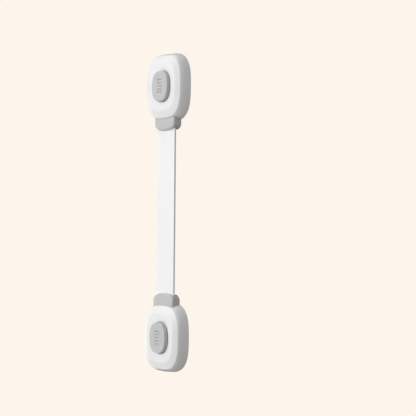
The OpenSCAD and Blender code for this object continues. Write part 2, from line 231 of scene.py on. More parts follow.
# %% Satin moulded white ABS
ABS_IOR = 1.53
GLOSS_PATCH = 9.0
PATCH_DETAIL = 3.0
WHITE_TINTS = ("#F1F0F1", "#F5F4F5")
WHITE_ROUGHNESS = (0.34, 0.44)
SATIN_GRAIN = 0.35
SATIN_DETAIL = 1.0
SATIN_BUMP = {"Strength": 0.12, "Distance": 0.02 * MM}


def surface_material(name, settings):
    """New material with a Principled shader set to constants, its tree, and that shader."""
    made = bpy.data.materials.new(name)
    made.use_nodes = True
    made.node_tree.nodes.clear()
    shader = add_node(made.node_tree, "ShaderNodeBsdfPrincipled", settings)
    add_node(made.node_tree, "ShaderNodeOutputMaterial", links={"Surface": shader.outputs[0]})
    return made, made.node_tree, shader


def per_metre(size_mm):
    """Texture scale whose features are this many millimetres across."""
    return 1 / (size_mm * MM)


def follow_pattern(tree, shader, pattern, tints, roughness=None):
    """Lets a pattern run the colour between two tints, and the roughness between two values."""
    tint = add_node(tree, "ShaderNodeValToRGB", links={"Fac": pattern})
    for stop, hex_colour in zip(tint.color_ramp.elements, tints):
        stop.color = linear(hex_colour)
    tree.links.new(tint.outputs["Color"], shader.inputs["Base Color"])
    if roughness:
        gloss = add_node(tree, "ShaderNodeMapRange", {"To Min": roughness[0], "To Max": roughness[1]},
                         {"Value": pattern})
        tree.links.new(gloss.outputs["Result"], shader.inputs["Roughness"])


white_abs, tree, shader = surface_material("satin_moulded_white_abs", {"IOR": ABS_IOR})
where = add_node(tree, "ShaderNodeTexCoord").outputs["Object"]
patch = add_node(tree, "ShaderNodeTexNoise", {"Scale": per_metre(GLOSS_PATCH), "Detail": PATCH_DETAIL},
                 {"Vector": where})
follow_pattern(tree, shader, patch.outputs["Fac"], WHITE_TINTS, WHITE_ROUGHNESS)
grain = add_node(tree, "ShaderNodeTexNoise", {"Scale": per_metre(SATIN_GRAIN), "Detail": SATIN_DETAIL},
                 {"Vector": where})
relief = add_node(tree, "ShaderNodeBump", SATIN_BUMP, {"Height": grain.outputs["Fac"]})
tree.links.new(relief.outputs["Normal"], shader.inputs["Normal"])
print("Material:", white_abs.name)

# %% [markdown]
# The buttons and plugs are the same plastic coloured light grey, from a spark-eroded tool that leaves
# a fine matt grain. It scatters light more than the covers do, so the roughness is higher and the
# grain a little deeper. As on the covers, the grain is drawn coarser than it is, so that it shows.

# %% Spark-textured grey ABS
GREY_TINTS = ("#C2C1C2", "#CAC9CA")
GREY_ROUGHNESS = (0.46, 0.58)
SPARK_GRAIN = 0.45
SPARK_DETAIL = 2.0
SPARK_BUMP = {"Strength": 0.18, "Distance": 0.03 * MM}

grey_abs, tree, shader = surface_material("spark_textured_grey_abs", {"IOR": ABS_IOR})
where = add_node(tree, "ShaderNodeTexCoord").outputs["Object"]
grain = add_node(tree, "ShaderNodeTexNoise", {"Scale": per_metre(SPARK_GRAIN), "Detail": SPARK_DETAIL},
                 {"Vector": where})
follow_pattern(tree, shader, grain.outputs["Fac"], GREY_TINTS, GREY_ROUGHNESS)
relief = add_node(tree, "ShaderNodeBump", SPARK_BUMP, {"Height": grain.outputs["Fac"]})
tree.links.new(relief.outputs["Normal"], shader.inputs["Normal"])
print("Material:", grey_abs.name)

# %% [markdown]
# The strap is a white thermoplastic elastomer, smooth and a little waxy, with an IOR of about 1.5. It
# is drawn through a die or a long mould, which leaves faint lines along its length. A noise that is
# stretched along Z gives them, with the line spacing across the strap and runs of a few centimetres
# along it. The stretch sets both sizes, so the noise itself has a scale of one.

# %% Smooth white elastomer
ELASTOMER_IOR = 1.5
STRAP_TINTS = ("#F7F6F7", "#FBFAFB")
STRAP_ROUGHNESS = (0.36, 0.46)
DIE_LINE = 0.7
DIE_RUN = 40.0
LINE_NOISE = {"Scale": 1.0, "Detail": 2.0}
DIE_BUMP = {"Strength": 0.08, "Distance": 0.02 * MM}

strap_tpe, tree, shader = surface_material("smooth_white_elastomer", {"IOR": ELASTOMER_IOR})
where = add_node(tree, "ShaderNodeTexCoord").outputs["Object"]
stretch = add_node(tree, "ShaderNodeMapping",
                   {"Scale": (per_metre(DIE_LINE), per_metre(DIE_LINE), per_metre(DIE_RUN))},
                   {"Vector": where})
line = add_node(tree, "ShaderNodeTexNoise", LINE_NOISE, {"Vector": stretch.outputs["Vector"]})
follow_pattern(tree, shader, line.outputs["Fac"], STRAP_TINTS, STRAP_ROUGHNESS)
relief = add_node(tree, "ShaderNodeBump", DIE_BUMP, {"Height": line.outputs["Fac"]})
tree.links.new(relief.outputs["Normal"], shader.inputs["Normal"])
print("Material:", strap_tpe.name)

# %% [markdown]
# The pads are closed-cell polyethylene foam tape, die-cut, matt and slightly yellower than the
# plastic. Its cells are a few tenths of a millimetre across and show as fine dimples. Blender's cell
# texture has one feature per cell, so its distance makes each dimple deeper and paints it darker in the
# middle. That darkening is painted shade in the dimple, laid over the foam's own colour.

# %% Closed-cell foam tape
FOAM_SURFACE = {"IOR": 1.45, "Roughness": 0.9}
# The darker tint is painted shade for the middle of each dimple; the lighter one is the foam's own
# colour.
FOAM_TONE_AND_PIT_SHADE = ("#D9D7D0", "#EAE8E2")
FOAM_CELL = 0.6
FOAM_BUMP = {"Strength": 0.5, "Distance": 0.06 * MM}

foam_tape, tree, shader = surface_material("closed_cell_foam_tape", FOAM_SURFACE)
where = add_node(tree, "ShaderNodeTexCoord").outputs["Object"]
cell = add_node(tree, "ShaderNodeTexVoronoi", {"Scale": per_metre(FOAM_CELL)}, {"Vector": where})
# The colour darkens towards each cell's middle: painted shade in the dimples, over the foam's own tone.
follow_pattern(tree, shader, cell.outputs["Distance"], FOAM_TONE_AND_PIT_SHADE)
relief = add_node(tree, "ShaderNodeBump", FOAM_BUMP, {"Height": cell.outputs["Distance"]})
tree.links.new(relief.outputs["Normal"], shader.inputs["Normal"])
print("Material:", foam_tape.name)

# %% [markdown]
# The leaf is rolled spring steel. Rolling leaves fine lines along its length, which draw highlights
# out across them. They are finer than a render can show, so they are drawn a quarter of a millimetre
# apart. Steel is a metal, so it keeps the default IOR and takes its colour from the base colour.

# %% Rolled spring steel
SPRING_TINTS = ("#A9ABAF", "#BFC1C4")
SPRING_ROUGHNESS = (0.22, 0.40)
ROLL_LINE = 0.25
ROLL_RUN = 12.0

spring_steel, tree, shader = surface_material("rolled_spring_steel", {"Metallic": 1.0})
where = add_node(tree, "ShaderNodeTexCoord").outputs["Object"]
stretch = add_node(tree, "ShaderNodeMapping",
                   {"Scale": (per_metre(ROLL_LINE), per_metre(ROLL_LINE), per_metre(ROLL_RUN))},
                   {"Vector": where})
line = add_node(tree, "ShaderNodeTexNoise", LINE_NOISE, {"Vector": stretch.outputs["Vector"]})
follow_pattern(tree, shader, line.outputs["Fac"], SPRING_TINTS, SPRING_ROUGHNESS)
print("Material:", spring_steel.name)

# %% [markdown]
# The screws are steel with a bright zinc plate. Its crystals grow in patches, which the eye sees as a
# faint mottling of the gloss. A plain noise gives that, drawn coarser than the crystals so that it
# shows. Like the leaf it is a metal.

# %% Zinc-plated steel
ZINC_TINTS = ("#B2B6BB", "#CDD0D3")
ZINC_ROUGHNESS = (0.28, 0.45)
ZINC_PATCH = 0.8
ZINC_DETAIL = 2.0

zinc_steel, tree, shader = surface_material("zinc_plated_steel", {"Metallic": 1.0})
where = add_node(tree, "ShaderNodeTexCoord").outputs["Object"]
patch = add_node(tree, "ShaderNodeTexNoise", {"Scale": per_metre(ZINC_PATCH), "Detail": ZINC_DETAIL},
                 {"Vector": where})
follow_pattern(tree, shader, patch.outputs["Fac"], ZINC_TINTS, ZINC_ROUGHNESS)
print("Material:", zinc_steel.name)

# %% [markdown]
# Sizes come from the frame where a solid's box gives them, and the rest are written in millimetres.
# Depth is the distance from the cabinet wall, so a depth of 10 mm is a Y of -0.010. Places along a pod
# are measured up from its centre, and its mouth is at the lower end. Everything is made for the upper
# pod. The lower pod is the same one turned upside down, so one matrix carries each piece there.

# %% Sizes of the pods
pod_low, pod_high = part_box("upper_front_cover")
POD_HALF_W = pod_high.x
POD_HALF_H = pod_high.z
POD_BACK = -pod_high.y
FACE = -pod_low.y
lower_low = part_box("lower_front_cover")[0]
POD_SPACING = pod_high.z - lower_low.z - 2 * POD_HALF_H
TO_LOWER_POD = Matrix.Translation((0, 0, -POD_SPACING)) @ Matrix.Rotation(math.pi, 4, "Y")
print("Pods", round(POD_SPACING / MM, 1), "mm apart, each",
      round(2 * POD_HALF_W / MM, 1), "by", round(2 * POD_HALF_H / MM, 1), "mm")

# %% [markdown]
# Every ring of a pod is a squarish oval, a superellipse, whose formula gives how far the edge reaches
# in each direction. The pod is squarer than its button, so each kind of ring has its own squareness. A
# ring is then a half width, a half height and a depth, and a profile is a walk through such rings.
# Corners of that walk are rounded with a short curve, which makes a fillet all the way round.

# %% Oval rings and rounded profiles
POD_SQUARENESS = 3.0
BUTTON_SQUARENESS = 2.5
OVAL_POINTS = 160
FILLET_STEPS = 6


def oval(half_w, half_h, squareness):
    """Outline of a squarish oval in X and Z."""
    points = []
    for i in range(OVAL_POINTS):
        a = 2 * math.pi * i / OVAL_POINTS
        c = math.cos(a)
        s = math.sin(a)
        reach = (abs(c) ** squareness + abs(s) ** squareness) ** (-1 / squareness)
        points.append((half_w * reach * c, half_h * reach * s))
    return points


def rounded_walk(corners):
    """Ring sizes along a walk whose corners, each a ring size and a reach, are rounded."""
    walk = []
    for i, (here, reach) in enumerate(corners):
        if reach == 0:
            walk.append(here)
            continue
        start = here + (corners[i - 1][0] - here).normalized() * reach
        end = here + (corners[(i + 1) % len(corners)][0] - here).normalized() * reach
        for k in range(FILLET_STEPS + 1):
            t = k / FILLET_STEPS
            walk.append(start.lerp(here, t).lerp(here.lerp(end, t), t))
    return walk


def across_depth(x, z, depth):
    """Point of an outline in X and Z, at a depth."""
    return Vector((x, -depth, z))


def oval_rings(corners, squareness):
    """Rings of points along a rounded walk."""
    return [[across_depth(x, z, size.z) for x, z in oval(size.x, size.y, squareness)]
            for size in rounded_walk(corners)]


print("Rings of", OVAL_POINTS, "points")

# %% [markdown]
# The cover is one moulded shell. From a rounded back edge its side walls rise with an almost straight
# draft, while its end walls round in, and both meet a crisp rim. A sloping band climbs from the rim to
# the face, which sinks into a shallow dish round the button. A subdivision surface could give such a
# soft form, but its edges would drift off the solid's sizes. So the shell is written as a list of
# rings, which keep every size, first over the outside.

# %% Outside of the covers
BACK_ROUND = 0.8 * MM
SIDE_FLARE = 2.2 * MM
END_FLARE = 2.0 * MM
# The side walls lean in by a straight share, and for the rest by a late curve of a high power. The end
# walls lean in by a gentler curve alone.
WALL_DRAFT = 0.78
WALL_BULGE = 6.0
END_CURVE = 2.6
WALL_STEPS = 16
WALL = 1.5 * MM
BAND_RISE = 1.7 * MM
BAND_SIDE = 3.3 * MM
BAND_END = 4.1 * MM
RIM_FILLET = 0.2 * MM
FACE_FILLET = 0.9 * MM
LIP = 1.0 * MM
BUTTON_GAP = 0.3 * MM
DISH_WIDTH = 2.5 * MM

button_low, button_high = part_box("upper_push_button")
BUTTON_HALF_W = button_high.x - LIP
BUTTON_HALF_H = button_high.z - LIP
RIM = FACE - BAND_RISE


def pod_ring(side, end, depth):
    """Ring size of the pod's outline, drawn in at its sides and ends."""
    return Vector((POD_HALF_W - side, POD_HALF_H - end, depth))


def button_ring(grow, depth):
    """Ring size of the button's outline, grown or drawn in."""
    return Vector((BUTTON_HALF_W + grow, BUTTON_HALF_H + grow, depth))


wall_start = POD_BACK + BACK_ROUND
outside = [
    (pod_ring(WALL, WALL, POD_BACK), 0),
    (pod_ring(0, 0, POD_BACK), BACK_ROUND),
]
for i in range(1, WALL_STEPS):
    t = i / WALL_STEPS
    side_lean = SIDE_FLARE * (WALL_DRAFT * t + (1 - WALL_DRAFT) * t ** WALL_BULGE)
    end_lean = END_FLARE * t ** END_CURVE
    outside.append((pod_ring(side_lean, end_lean, wall_start + t * (RIM - wall_start)), 0))
outside += [
    (pod_ring(SIDE_FLARE, END_FLARE, RIM), RIM_FILLET),
    (pod_ring(SIDE_FLARE + BAND_SIDE, END_FLARE + BAND_END, FACE), FACE_FILLET),
    (button_ring(BUTTON_GAP + DISH_WIDTH, FACE), 0),
]
print("Rim", round(RIM / MM, 1), "mm and face", round(FACE / MM, 1), "mm from the cabinet wall")

# %% [markdown]
# A loft makes a mesh from rings: it joins each ring to the next with a row of faces. It has a cap at
# each end, or closes round on itself, as a tyre does. Blender can also bridge loops of edges, but
# building the faces in order keeps them even and is the same on each run.

# %% Lofts
def new_piece(name, shape):
    """Object made from a bmesh, which is used up."""
    bmesh.ops.recalc_face_normals(shape, faces=shape.faces)
    mesh = bpy.data.meshes.new(name)
    shape.to_mesh(mesh)
    shape.free()
    made = bpy.data.objects.new(name, mesh)
    scene.collection.objects.link(made)
    return made


def loft(name, rings, closed=False):
    """Skin over rings of points, capped at both ends or closed round on itself."""
    shape = bmesh.new()
    rows = [[shape.verts.new(p) for p in ring] for ring in rings]
    pairs = list(zip(rows, rows[1:]))
    if closed:
        pairs.append((rows[-1], rows[0]))
    else:
        shape.faces.new(rows[0])
        shape.faces.new(rows[-1])
    for a, b in pairs:
        for i in range(len(a)):
            j = (i + 1) % len(a)
            shape.faces.new((a[i], a[j], b[j], b[i]))
    return new_piece(name, shape)


print("Ready to loft rings")

# %% [markdown]
# The walk goes on down the dish, through the button's opening and back along the inside. Its loft
# closes on itself, so that the shell has its real wall thickness and no cap.

# %% Opening and inside of the covers
DISH_DEPTH = 0.5 * MM
DISH_STEPS = 8
OPENING_FILLET = 0.15 * MM
BASE_FRONT = 2.3 * MM

inside_face = FACE - WALL
opening = []
for i in range(DISH_STEPS):
    s = 1 - i / DISH_STEPS
    opening.append((button_ring(BUTTON_GAP + DISH_WIDTH * s, FACE - DISH_DEPTH * (1 - s) ** 2), 0))
opening += [
    (button_ring(BUTTON_GAP, FACE - DISH_DEPTH), OPENING_FILLET),
    (button_ring(BUTTON_GAP, inside_face), 0),
]
inside = [
    (pod_ring(SIDE_FLARE + BAND_SIDE, END_FLARE + BAND_END, inside_face), 0),
    (pod_ring(SIDE_FLARE + WALL, END_FLARE + WALL, inside_face - BAND_RISE), 0),
    (pod_ring(WALL, WALL, BASE_FRONT), 0),
]
cover_rings = [
    *oval_rings(outside, POD_SQUARENESS),
    *oval_rings(opening, BUTTON_SQUARENESS),
    *oval_rings(inside, POD_SQUARENESS),
]
cover = loft("upper_cover", cover_rings, closed=True)
print("Cover shell of", len(cover_rings), "rings")

# %% [markdown]
# The other forms are prisms: a flat outline that is given a thickness, with its sharp edges rounded by
# a bevel where needed. Small functions say which way the outline lies. A boolean joins a prism to a
# piece or cuts it out. The result is written back as the piece's own mesh, so that no cutter stays in
# the scene.

# %% Prisms and booleans
SHARP_ANGLE = math.radians(38)
EDGE_SEGMENTS = 3
ROUND_PROFILE = 0.5


def along_strap(x, depth, z):
    """Point of an outline in X and depth, which is drawn out along the strap."""
    return Vector((x, -depth, z))


def across_width(z, depth, x):
    """Point of a side view in Z and depth, which is drawn out across the lock."""
    return Vector((x, -depth, z))


def prism(name, outline, start, end, place, edge=0.0, segments=EDGE_SEGMENTS):
    """Outline drawn out from start to end, with its sharp edges rounded."""
    shape = bmesh.new()
    rows = [[shape.verts.new(place(u, v, w)) for u, v in outline] for w in (start, end)]
    shape.faces.new(rows[0])
    shape.faces.new(rows[1])
    for i in range(len(outline)):
        j = (i + 1) % len(outline)
        shape.faces.new((rows[0][i], rows[0][j], rows[1][j], rows[1][i]))
    bmesh.ops.recalc_face_normals(shape, faces=shape.faces)
    if edge:
        sharp = [e for e in shape.edges if e.calc_face_angle() > SHARP_ANGLE]
        bmesh.ops.bevel(shape, geom=sharp, offset=edge, offset_type="OFFSET", segments=segments,
                        profile=ROUND_PROFILE, affect="EDGES", clamp_overlap=True)
    return new_piece(name, shape)


def keep_result(piece):
    """Writes what the modifiers give back into the piece's own mesh."""
    bpy.context.view_layer.update()
    depsgraph = bpy.context.evaluated_depsgraph_get()
    mesh = bpy.data.meshes.new_from_object(piece.evaluated_get(depsgraph))
    piece.modifiers.clear()
    piece.data = mesh


def combine(piece, tool, operation):
    """Boolean of a piece with a tool, which is then removed."""
    step = piece.modifiers.new("combine", "BOOLEAN")
    step.operation = operation
    step.object = tool
    step.solver = "EXACT"
    keep_result(piece)
    bpy.data.objects.remove(tool)


print("Edges count as sharp above", round(math.degrees(SHARP_ANGLE)), "degrees")

# %% [markdown]
# The real cover has a shallow flat at its outer end, away from the mouth. It starts just above the rim
# and rises towards the back edge, and it shows as a thin shaded line along the end of the pod. Rings
# can't hold a flat on one end only, so a prism with the flat's slope is cut away from the shell.

# %% Flat at the covers' outer end
# Rise of the flat for each step towards the back, and its start above the rim.
FLAT_SLOPE = 0.317
FLAT_LIFT = 0.05 * MM


def flat_height(depth):
    """Height of the flat at the pod's outer end, which starts just above the rim."""
    return POD_HALF_H - END_FLARE + FLAT_LIFT + FLAT_SLOPE * (RIM - depth)


near = FACE + WALL
far = POD_BACK - WALL
beyond = 2 * POD_HALF_H
flat_side = [(flat_height(far), far), (beyond, far), (beyond, near), (flat_height(near), near)]
flat_cut = prism("flat_cut", flat_side, -POD_HALF_W, POD_HALF_W, across_width)
combine(cover, flat_cut, "DIFFERENCE")
flat_way = Vector((0, -FLAT_SLOPE, 1)).normalized()
print("Flat leans", round(math.degrees(math.atan(FLAT_SLOPE)), 1), "degrees")

# %% [markdown]
# Inside the cover stand three bosses, round posts that the base plate's screws go into: one at the
# outer end and one at each side. They are hidden in the finished lock, but the screws need something
# to hold. Each is a round prism joined to the shell, and its hole is another that is cut out.

# %% Screw bosses of the covers
BOSS_RADIUS = 1.9 * MM
SCREW_HOLE = 1.0 * MM
SCREW_DEPTH = 6.5 * MM
SIDE_BOSS_DROP = 8.5 * MM
CIRCLE_POINTS = 32


def circle(x, z, radius):
    """Round outline about a place."""
    turns = [2 * math.pi * i / CIRCLE_POINTS for i in range(CIRCLE_POINTS)]
    return [(x + radius * math.cos(a), z + radius * math.sin(a)) for a in turns]


boss_x = POD_HALF_W - END_FLARE - WALL - BOSS_RADIUS
boss_z = POD_HALF_H - END_FLARE - WALL - BOSS_RADIUS
boss_places = ((0, boss_z), (boss_x, -SIDE_BOSS_DROP), (-boss_x, -SIDE_BOSS_DROP))
for x, z in boss_places:
    boss = prism("boss", circle(x, z, BOSS_RADIUS), BASE_FRONT, RIM, across_depth)
    combine(cover, boss, "UNION")
    hole = prism("hole", circle(x, z, SCREW_HOLE), BASE_FRONT - WALL, SCREW_DEPTH, across_depth)
    combine(cover, hole, "DIFFERENCE")
print(len(boss_places), "bosses in each cover")

# %% [markdown]
# The mouth is the opening that the plug slides into. It has the section of the plug's neck, a little
# larger all round, and runs from below the pod to just past the neck's shoulder. A cutter that sticks
# out on the open sides leaves no thin skin there, so cutters overshoot by a fixed amount.

# %% Mouth of the covers
NECK_FRONT_EDGE = 1.5 * MM
STRAP_GAP = 0.1 * MM
ROOT_WALL = 1.8 * MM
BASE_END_GAP = 0.3 * MM
MOUTH_GAP = 0.25 * MM
MOUTH_SEGMENTS = 6
OVERSHOOT = 2.0 * MM

neck_low, neck_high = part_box("upper_plug_front")
NECK_HALF_W = neck_high.x
NECK_END = neck_low.z
NECK_FRONT = -neck_low.y
strap_low, strap_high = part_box("strap_upper_run")
STRAP_END = strap_high.z
POCKET_TOP = STRAP_END + STRAP_GAP
NECK_SHOULDER = POCKET_TOP + ROOT_WALL


def rectangle(half_u, low, high):
    """Outline that is centred across and runs between two heights."""
    return [(-half_u, low), (half_u, low), (half_u, high), (-half_u, high)]


mouth_section = rectangle(NECK_HALF_W + MOUTH_GAP, -OVERSHOOT, NECK_FRONT + MOUTH_GAP)
mouth_top = NECK_SHOULDER + BASE_END_GAP + WALL
mouth = prism("mouth", mouth_section, NECK_END - OVERSHOOT, mouth_top, along_strap,
              NECK_FRONT_EDGE + MOUTH_GAP, MOUTH_SEGMENTS)
combine(cover, mouth, "DIFFERENCE")
print("Mouth", round(2 * (NECK_HALF_W + MOUTH_GAP) / MM, 1), "mm wide")

# %% [markdown]
# Smooth shading with edges kept sharp above an angle finishes each mesh, and weighted normals keep
# flat faces flat next to small fillets. The flat at the outer end meets the walls at less than that
# angle, so its border is marked sharp by the way that it faces. A turned copy then makes the lower
# pod's piece, and both settle on their bodies in place of their solids.

# %% Finish the covers
SAME_WAY = 0.99999


def finish_piece(piece, material, crisp=None):
    """Smooth shading with sharp edges, also round faces that look one way, and a material."""
    mesh = piece.data
    mesh.polygons.foreach_set("use_smooth", [True] * len(mesh.polygons))
    mesh.set_sharp_from_angle(angle=SHARP_ANGLE)
    if crisp:
        for face in mesh.polygons:
            if face.normal.dot(crisp) > SAME_WAY:
                for loop in face.loop_indices:
                    mesh.edges[mesh.loops[loop].edge_index].use_edge_sharp = True
    step = piece.modifiers.new("flat_faces", "WEIGHTED_NORMAL")
    step.keep_sharp = True
    keep_result(piece)
    piece.data.materials.clear()
    piece.data.materials.append(material)
    return piece


def turned_copy(piece, name):
    """The same piece on the lower pod."""
    mesh = piece.data.copy()
    mesh.transform(TO_LOWER_POD)
    made = bpy.data.objects.new(name, mesh)
    scene.collection.objects.link(made)
    return made


def settle(piece, body, slot, *nodes):
    """Puts a piece on its body, in place of the solids that it stands for."""
    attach(piece, body)
    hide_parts(*nodes)


finish_piece(cover, white_abs, flat_way)
lower_cover = turned_copy(cover, "lower_cover")
settle(cover, "upper_pod", "white_abs", "upper_front_cover")
settle(lower_cover, "lower_pod", "white_abs", "lower_front_cover")
print("Covers of", len(cover.data.polygons), "faces each")

# %% [markdown]
# The button is a hollow cap with a lip that keeps it in the cover. Its top is dished a little for a
# fingertip, and its edge is rounded. The cap is a loft from the inside of its roof, round the lip and
# up to the top, so that it is as thin as the moulded one.

# %% Caps of the push buttons
BUTTON_FILLET = 0.8 * MM
BUTTON_WALL = 1.3 * MM
FINGER_DISH = 0.2 * MM
LIP_BACK = 7.5 * MM
LIP_FRONT = 8.7 * MM
LIP_FILLET = 0.15 * MM
ROOF_MIDDLE = 0.1

BUTTON_TOP = -button_low.y
roof = BUTTON_TOP - BUTTON_WALL
roof_ring = button_ring(-BUTTON_WALL, roof)
cap = [
    (Vector((roof_ring.x * ROOF_MIDDLE, roof_ring.y * ROOF_MIDDLE, roof)), 0),
    (roof_ring, 0),
    (button_ring(-BUTTON_WALL, LIP_BACK), 0),
    (button_ring(LIP, LIP_BACK), 0),
    (button_ring(LIP, LIP_FRONT), LIP_FILLET),
    (button_ring(0, LIP_FRONT), LIP_FILLET),
    (button_ring(0, BUTTON_TOP), BUTTON_FILLET),
]
dish_edge = button_ring(-BUTTON_FILLET, BUTTON_TOP)
for i in range(1, DISH_STEPS):
    share = 1 - i / DISH_STEPS
    depth = BUTTON_TOP - FINGER_DISH * (1 - share ** 2)
    cap.append((Vector((dish_edge.x * share, dish_edge.y * share, depth)), 0))
button = loft("upper_button", oval_rings(cap, BUTTON_SQUARENESS))
print("Button", round(2 * BUTTON_HALF_W / MM, 1), "by", round(2 * BUTTON_HALF_H / MM, 1), "mm")

# %% [markdown]
# Two legs reach from the button's lip past the plug's tongue to the leaf spring, just beyond the step
# where the tongue catches. Five tapered grooves across the top give grip. The legs are joined to the
# cap so that it stays one solid, and the grooves are cut out of it, because a pattern in the material
# alone would be lost in the mesh.

# %% Legs and grip grooves of the push buttons
RAMP_LENGTH = 4.3 * MM
LEG_GAP = 0.4 * MM
LEG_X = 6.05 * MM
LEG_HALF_W = 0.65 * MM
LEG_HALF_L = 1.2 * MM
GROOVE_COUNT = 5
GROOVE_PITCH = 1.9 * MM
GROOVE_HALF_L = 1.9 * MM
GROOVE_HALF_W = 0.5 * MM
GROOVE_DEPTH = 0.6 * MM
GROOVE_FLOOR = 0.05 * MM

leaf_low, leaf_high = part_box("upper_latch_spring")
CATCH_Z = leaf_low.z + RAMP_LENGTH
LEG_Z = CATCH_Z + LEG_GAP + LEG_HALF_L
leg_tip = -button_high.y
leg_root = LIP_BACK + LIP / 2
for x in (-LEG_X, LEG_X):
    outline = [(x + u, LEG_Z + v) for u, v in rectangle(LEG_HALF_W, -LEG_HALF_L, LEG_HALF_L)]
    leg = prism("leg", outline, leg_tip, leg_root, across_depth, LIP_FILLET)
    combine(button, leg, "UNION")
dish_floor = BUTTON_TOP - FINGER_DISH
groove_sizes = (
    (GROOVE_HALF_L - GROOVE_HALF_W, GROOVE_FLOOR, dish_floor - GROOVE_DEPTH),
    (GROOVE_HALF_L, GROOVE_HALF_W, dish_floor),
    (GROOVE_HALF_L, GROOVE_HALF_W, BUTTON_TOP + OVERSHOOT),
)
for i in range(GROOVE_COUNT):
    z = (i - (GROOVE_COUNT - 1) / 2) * GROOVE_PITCH
    rings = []
    for half_l, half_w, depth in groove_sizes:
        outline = rectangle(half_l, z - half_w, z + half_w)
        rings.append([across_depth(u, v, depth) for u, v in outline])
    combine(button, loft("groove", rings), "DIFFERENCE")
finish_piece(button, grey_abs)
lower_button = turned_copy(button, "lower_button")
settle(button, "upper_button", "grey_abs", "upper_push_button")
settle(lower_button, "lower_button", "grey_abs", "lower_push_button")
print("Buttons of", len(button.data.polygons), "faces each")

# %% [markdown]
# The plug is moulded in two halves that clamp the strap. The front half is what shows: a neck with
# straight sides, softly rounded edges and an outer end that is half an oval. A bevel would pinch where
# the oval is tightest, so the rounded edges are lofted from outlines that are drawn in step by step.

# %% Neck of the plugs
NECK_CROWN = 4.6 * MM
NECK_BACK_EDGE = 0.8 * MM
EDGE_STEPS = 8

NECK_BACK = -neck_high.y


def neck_outline(inset):
    """Neck in X and Z, drawn in: straight sides, and an outer end that is half an oval."""
    side = NECK_HALF_W - inset
    end = oval(side, NECK_CROWN - inset, BUTTON_SQUARENESS)
    half = [*end[OVAL_POINTS // 2:], end[0]]
    return [(side, NECK_SHOULDER - inset), (-side, NECK_SHOULDER - inset),
            *[(x, NECK_END + NECK_CROWN + z) for x, z in half]]


def neck_block(name):
    """Solid neck with rounded back and front edges."""
    turns = [math.pi / 2 * i / EDGE_STEPS for i in range(EDGE_STEPS + 1)]
    walk = [(NECK_BACK + NECK_BACK_EDGE * (1 - math.sin(a)), NECK_BACK_EDGE * (1 - math.cos(a)))
            for a in reversed(turns)]
    walk += [(NECK_FRONT - NECK_FRONT_EDGE * (1 - math.sin(a)), NECK_FRONT_EDGE * (1 - math.cos(a)))
             for a in turns]
    return loft(name, [[across_depth(x, z, depth) for x, z in neck_outline(inset)]
                       for depth, inset in walk])


neck = neck_block("upper_plug_neck")
print("Neck", round(2 * NECK_HALF_W / MM, 1), "mm wide")

# %% [markdown]
# Behind the neck's front are a pocket for the strap, two sockets for the pegs of the other half, and a
# tongue that slides into the pod, with a window where the leaf's tooth catches. All of it is cut from
# or joined to the neck, because the real half is one moulding.

# %% Pocket and tongue of the plugs
POCKET_HALF_W = 7.1 * MM
RELIEF_LENGTH = 4.0 * MM
PEG_X = 3.5 * MM
PEG_RADIUS = 1.2 * MM
PIN_GAP = 0.05 * MM
TONGUE_HALF_W = 5.0 * MM
TONGUE_BACK = 4.4 * MM
TONGUE_FRONT = 6.0 * MM
TIP_CUT = 1.2 * MM
SMALL_EDGE = 0.2 * MM
WINDOW_HALF_W = 3.0 * MM

STRAP_BACK = -strap_high.y
STRAP_FRONT = -strap_low.y
PEG_Z = (POCKET_TOP + NECK_END + RELIEF_LENGTH) / 2
PEG_TOP = (STRAP_FRONT + NECK_FRONT) / 2
pocket = prism("pocket", rectangle(POCKET_HALF_W, NECK_END - OVERSHOOT, POCKET_TOP),
               NECK_BACK - OVERSHOOT, STRAP_FRONT + STRAP_GAP, across_depth)
combine(neck, pocket, "DIFFERENCE")
for x in (-PEG_X, PEG_X):
    socket = prism("socket", circle(x, PEG_Z, PEG_RADIUS + PIN_GAP), STRAP_BACK, PEG_TOP + PIN_GAP,
                   across_depth)
    combine(neck, socket, "DIFFERENCE")
tongue_tip = neck_high.z
tongue_outline = [
    (-TONGUE_HALF_W, POCKET_TOP), (TONGUE_HALF_W, POCKET_TOP),
    (TONGUE_HALF_W, tongue_tip - TIP_CUT), (TONGUE_HALF_W - TIP_CUT, tongue_tip),
    (TIP_CUT - TONGUE_HALF_W, tongue_tip), (-TONGUE_HALF_W, tongue_tip - TIP_CUT),
]
tongue = prism("tongue", tongue_outline, TONGUE_BACK, TONGUE_FRONT, across_depth, SMALL_EDGE)
window_outline = rectangle(WINDOW_HALF_W, leaf_low.z - LEG_GAP, CATCH_Z + BASE_END_GAP)
window = prism("window", window_outline, TONGUE_BACK - OVERSHOOT, TONGUE_FRONT + OVERSHOOT, across_depth)
combine(tongue, window, "DIFFERENCE")
combine(neck, tongue, "UNION")
finish_piece(neck, grey_abs)
lower_neck = turned_copy(neck, "lower_plug_neck")
settle(neck, "upper_strap", "grey_abs", "upper_plug_front")
settle(lower_neck, "lower_strap", "grey_abs", "lower_plug_front")
print("Plug fronts of", len(neck.data.polygons), "faces each")

# %% [markdown]
# The back half of the plug fills the pocket behind the strap and carries two pegs that go through it.
# Near the mouth it falls away from the strap, so that the strap can bend without being cut. That
# leaves the small dark gap that shows behind the strap. Its side view is drawn out across the plug,
# and the part of it inside the neck's outline is kept.

# %% Back halves of the plugs
RELIEF_DEPTH = 2.2 * MM
RELIEF_RAMP = 1.5 * MM
CLIP_SETBACK = 0.9 * MM

